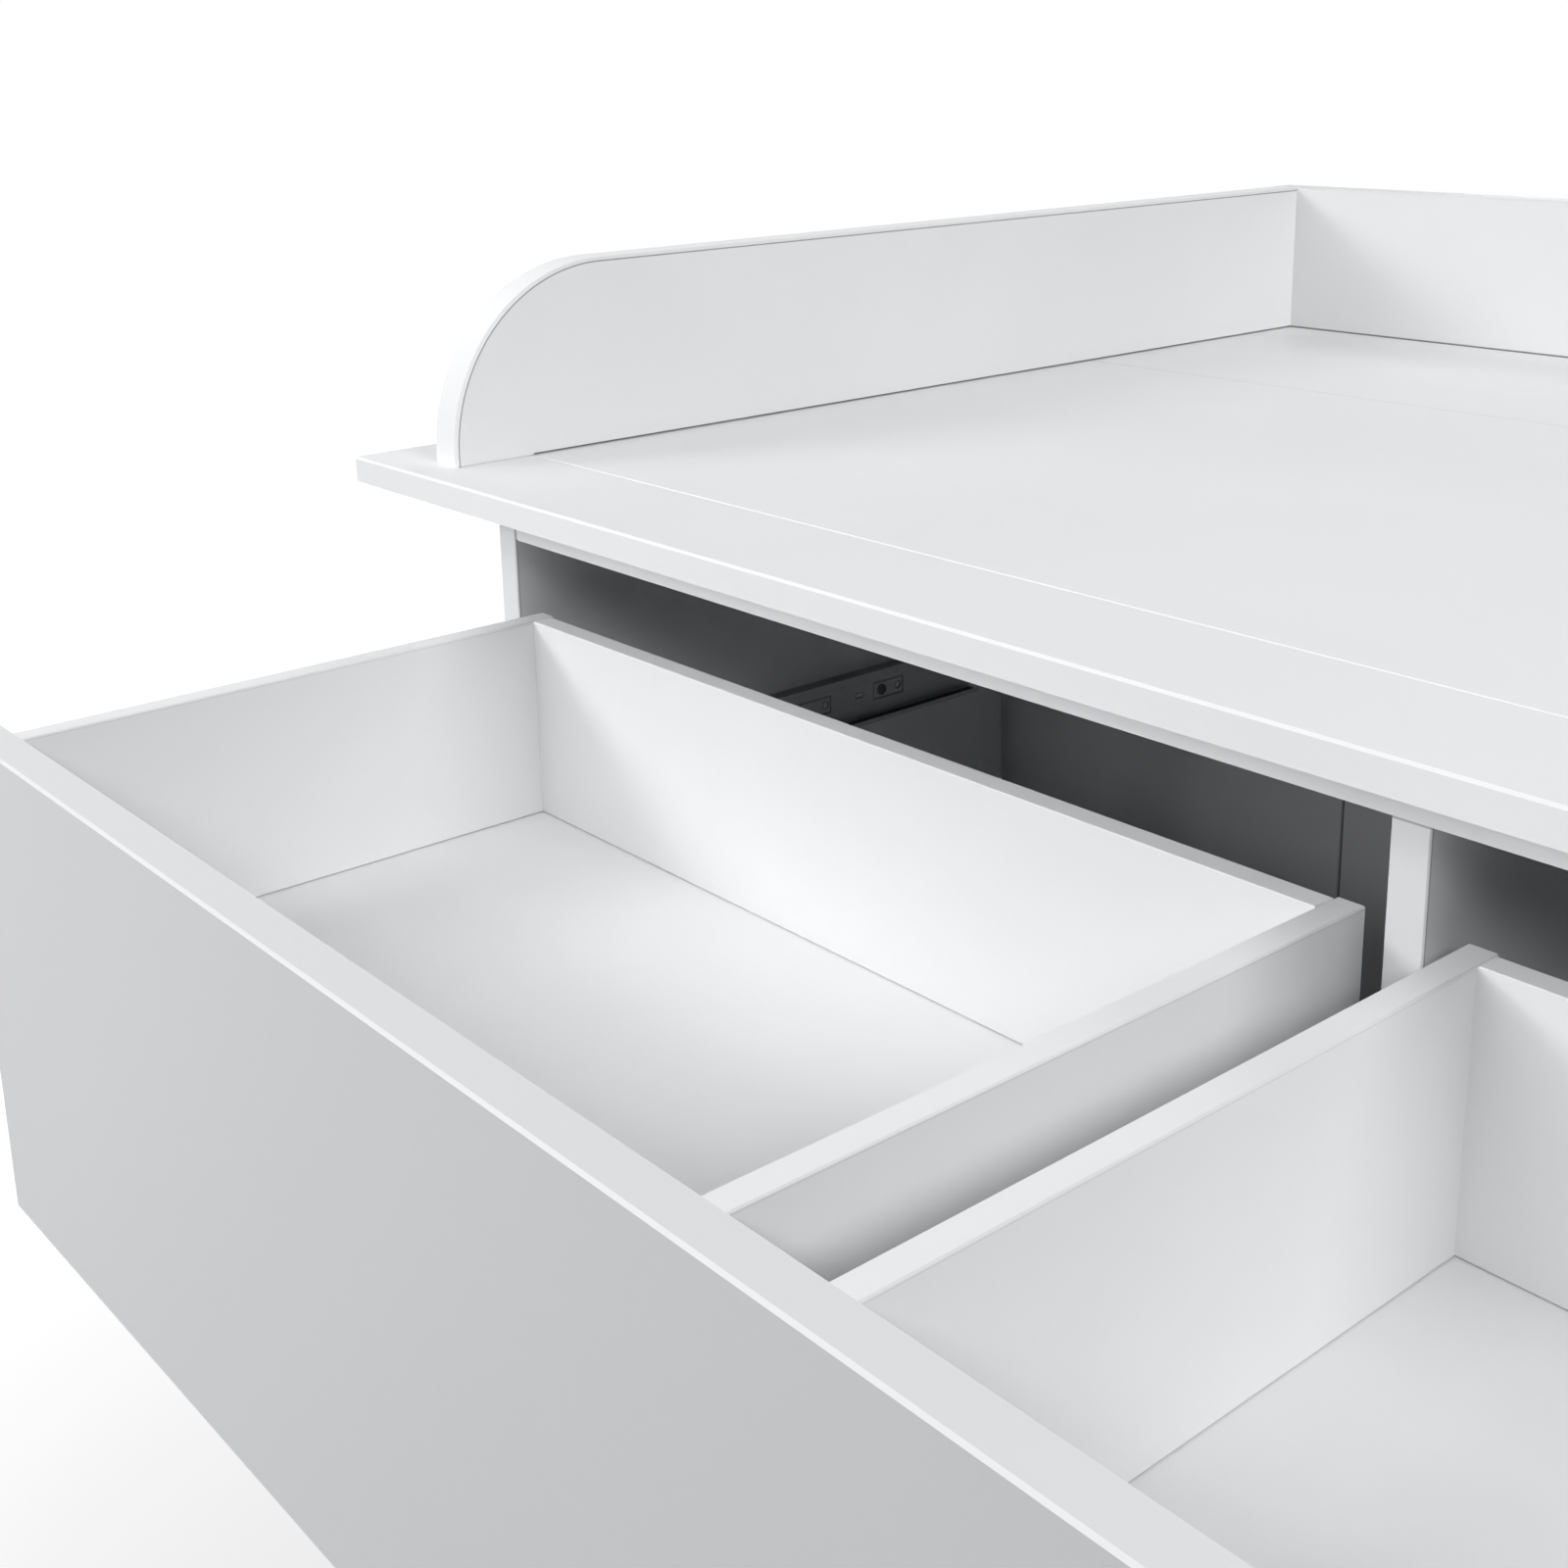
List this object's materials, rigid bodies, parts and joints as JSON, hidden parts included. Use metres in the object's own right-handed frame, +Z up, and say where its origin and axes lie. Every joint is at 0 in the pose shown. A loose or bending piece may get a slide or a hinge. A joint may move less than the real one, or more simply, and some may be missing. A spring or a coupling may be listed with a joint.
{
  "type": "changing dresser",
  "caption": "White changing dresser on short feet: wide handle-less drawers on ball-bearing slides, an overhanging top and raised changing boards round it.",
  "frame": {"origin": "on the floor, at the middle of the foot below the divider, halfway along the width and depth of the body", "axes": "+X to the right of someone facing the fronts, +Y to the rear, +Z up"},
  "size_m": [1.292, 1.045, 1.073],
  "materials": {
    "white_board": "white lacquered board, satin",
    "white_sheet": "thin white faced hardboard, satin",
    "slide_steel": "zinc-plated rolled steel",
    "screw_steel": "zinc-plated, low head",
    "foot_plastic": "matte light grey"
  },
  "bodies": {
    "body": {"side_panel_left": "white_board", "side_panel_right": "white_board", "centre_divider": "white_board", "bottom_panel": "white_board", "top_rail": "white_board", "top_front_strip": "white_board", "top_main_panel": "white_board", "top_rear_panel": "white_board", "changing_side_left": "white_board", "changing_side_right": "white_board", "changing_back": "white_board", "back_sheet_left": "white_sheet", "back_sheet_right": "white_sheet", "body_slide_members": "slide_steel", "slide_screws": "screw_steel", "corner_feet": "foot_plastic", "centre_foot": "foot_plastic"},
    "lower_drawer": {"lower_front": "white_board", "lower_left_box_side_left": "white_board", "lower_left_box_side_right": "white_board", "lower_left_box_back": "white_board", "lower_left_box_bottom": "white_sheet", "lower_right_box_side_left": "white_board", "lower_right_box_side_right": "white_board", "lower_right_box_back": "white_board", "lower_right_box_bottom": "white_sheet", "lower_drawer_slides": "slide_steel"},
    "lower_slide_carriage": {"lower_slide_carriages": "slide_steel"},
    "middle_drawer": {"middle_front": "white_board", "middle_left_box_side_left": "white_board", "middle_left_box_side_right": "white_board", "middle_left_box_back": "white_board", "middle_left_box_bottom": "white_sheet", "middle_right_box_side_left": "white_board", "middle_right_box_side_right": "white_board", "middle_right_box_back": "white_board", "middle_right_box_bottom": "white_sheet", "middle_drawer_slides": "slide_steel"},
    "middle_slide_carriage": {"middle_slide_carriages": "slide_steel"},
    "upper_drawer": {"upper_front": "white_board", "upper_left_box_side_left": "white_board", "upper_left_box_side_right": "white_board", "upper_left_box_back": "white_board", "upper_left_box_bottom": "white_sheet", "upper_right_box_side_left": "white_board", "upper_right_box_side_right": "white_board", "upper_right_box_back": "white_board", "upper_right_box_bottom": "white_sheet", "upper_drawer_slides": "slide_steel"},
    "upper_slide_carriage": {"upper_slide_carriages": "slide_steel"}
  },
  "joints": [
    {"name": "lower_pull", "type": "slide", "parent": "body", "child": "lower_drawer", "axis": [0, -1, 0], "range_m": [0, 0.288]},
    {"name": "lower_carriage", "type": "slide", "parent": "body", "child": "lower_slide_carriage", "axis": [0, -1, 0], "range_m": [0, 0.144]},
    {"name": "middle_pull", "type": "slide", "parent": "body", "child": "middle_drawer", "axis": [0, -1, 0], "range_m": [0, 0.288]},
    {"name": "middle_carriage", "type": "slide", "parent": "body", "child": "middle_slide_carriage", "axis": [0, -1, 0], "range_m": [0, 0.144]},
    {"name": "upper_pull", "type": "slide", "parent": "body", "child": "upper_drawer", "axis": [0, -1, 0], "range_m": [-0.288, 0]},
    {"name": "upper_carriage", "type": "slide", "parent": "body", "child": "upper_slide_carriage", "axis": [0, -1, 0], "range_m": [-0.144, 0]}
  ],
  "couplings": [
    {"joint": "lower_carriage", "follows": "lower_pull", "ratio": 0.5},
    {"joint": "middle_carriage", "follows": "middle_pull", "ratio": 0.5},
    {"joint": "upper_carriage", "follows": "upper_pull", "ratio": 0.5}
  ]
}
